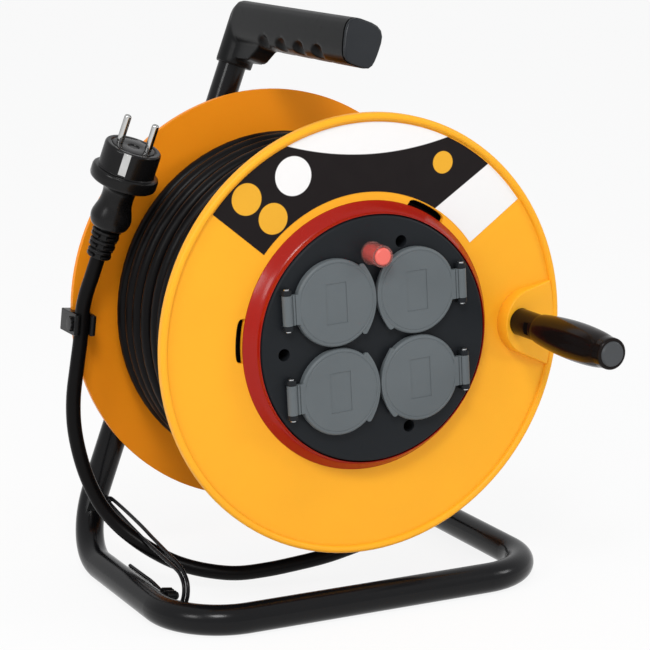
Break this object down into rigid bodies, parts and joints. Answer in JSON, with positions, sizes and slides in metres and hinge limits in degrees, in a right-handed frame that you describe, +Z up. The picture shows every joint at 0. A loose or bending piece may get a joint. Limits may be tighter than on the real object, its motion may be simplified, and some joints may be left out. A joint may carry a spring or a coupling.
{
  "type": "extension cord reel",
  "caption": "Extension cord reel on a bent tube stand: an orange drum with covered sockets, a cranked front flange, a wound black cord with its plug and a carrying grip.",
  "frame": {"origin": "on the floor under the middle of the reel, measured without the free cord and its plug", "axes": "+Z up, -Y towards the socket side, +X to the right seen from the socket side; the drum turns about an axis along Y"},
  "size_m": [0.301, 0.3192, 0.3886],
  "materials": {
    "frame_black": "semi-gloss black powder coat",
    "grip_black": "fine-grained black plastic",
    "cap_black": "smooth black plastic",
    "nylon_white": "natural nylon",
    "wire_black": "black coated wire",
    "clamp_black": "moulded black plastic",
    "drum_orange": "glossy yellow-orange plastic",
    "label_black": "printed film",
    "cord_black": "black rubber sheath",
    "housing_red": "glossy red plastic",
    "panel_dark": "dark grey plastic with a fine grain",
    "screw_dark": "blackened steel",
    "brass": "plain brass",
    "cutout_brown": "phenolic",
    "sleeve_clear": "clear soft plastic",
    "button_red": "glossy red plastic",
    "lead_blue": "insulated wire",
    "sleeve_black": "smooth black plastic",
    "crank_black": "polished black plastic",
    "cap_grey": "grey plastic",
    "plug_black": "moulded black rubber",
    "pin_nickel": "nickel plate",
    "insert_dark": "dark grey plastic",
    "lid_grey": "grey plastic with a fine grain",
    "steel": "zinc-plated steel"
  },
  "bodies": {
    "stand": {"stand_frame": "frame_black", "grip_shell_left": "grip_black", "grip_shell_right": "grip_black", "grip_end_cap": "cap_black", "grip_screws": "steel", "axle_spindle": "steel", "axle_washers": "steel", "axle_nuts": "steel", "thrust_washer": "nylon_white", "guide_wire": "wire_black", "guide_clamps": "clamp_black", "guide_screws": "steel", "free_cord": "cord_black", "plug_relief": "plug_black", "plug_body": "plug_black", "plug_pins": "pin_nickel", "plug_earth_strips": "pin_nickel"},
    "drum": {"front_flange": "drum_orange", "rear_flange": "drum_orange", "drum_screws": "steel", "flange_label": "label_black", "winding_core": "cord_black", "cable_winding": "cord_black", "cord_clip": "clamp_black", "socket_housing": "housing_red", "socket_panel": "panel_dark", "panel_screws": "screw_dark", "socket_insert_1": "insert_dark", "socket_insert_2": "insert_dark", "socket_insert_3": "insert_dark", "socket_insert_4": "insert_dark", "line_rail": "brass", "neutral_rail": "brass", "earth_rail": "brass", "cutout_body": "cutout_brown", "cutout_nut": "clamp_black", "button_sleeve": "sleeve_clear", "terminal_block": "nylon_white", "cord_gland": "clamp_black", "inner_cord": "cord_black", "inner_leads": "lead_blue", "lid_pins": "steel", "lid_springs": "steel", "crank_bolt": "steel", "crank_sleeve": "sleeve_black", "crank_washer": "steel", "crank_nut": "steel"},
    "crank": {"crank_grip": "crank_black", "crank_end_cap": "cap_grey"},
    "button": {"reset_button": "button_red"},
    "lid_1": {"socket_lid_1": "lid_grey"},
    "lid_2": {"socket_lid_2": "lid_grey"},
    "lid_3": {"socket_lid_3": "lid_grey"},
    "lid_4": {"socket_lid_4": "lid_grey"}
  },
  "joints": [
    {"name": "drum_spin", "type": "hinge", "parent": "stand", "child": "drum", "pos_m": [0.004, -0.04485, 0.185], "axis": [0, 1, 0], "continuous": true},
    {"name": "crank_spin", "type": "hinge", "parent": "drum", "child": "crank", "pos_m": [0.116, -0.04485, 0.185], "axis": [0, 1, 0], "continuous": true},
    {"name": "lid_1_swing", "type": "hinge", "parent": "drum", "child": "lid_1", "pos_m": [-0.06053, -0.05745, 0.21054], "axis": [0.0558, 0, -0.9984], "range_deg": [0, 115], "stiffness_Nm_per_rad": 0.02, "springref_deg": -34.38},
    {"name": "lid_2_swing", "type": "hinge", "parent": "drum", "child": "lid_2", "pos_m": [0.06528, -0.05745, 0.21757], "axis": [-0.0558, 0, 0.9984], "range_deg": [0, 115], "stiffness_Nm_per_rad": 0.02, "springref_deg": -34.38},
    {"name": "lid_3_swing", "type": "hinge", "parent": "drum", "child": "lid_3", "pos_m": [-0.05728, -0.05745, 0.15243], "axis": [0.0558, 0, -0.9984], "range_deg": [0, 115], "stiffness_Nm_per_rad": 0.02, "springref_deg": -34.38},
    {"name": "lid_4_swing", "type": "hinge", "parent": "drum", "child": "lid_4", "pos_m": [0.06853, -0.05745, 0.15946], "axis": [-0.0558, 0, 0.9984], "range_deg": [0, 115], "stiffness_Nm_per_rad": 0.02, "springref_deg": -34.38},
    {"name": "reset_press", "type": "slide", "parent": "drum", "child": "button", "axis": [0, 1, 0], "range_m": [0, 0.002], "stiffness_N_per_m": 300, "springref_m": -0.003}
  ]
}
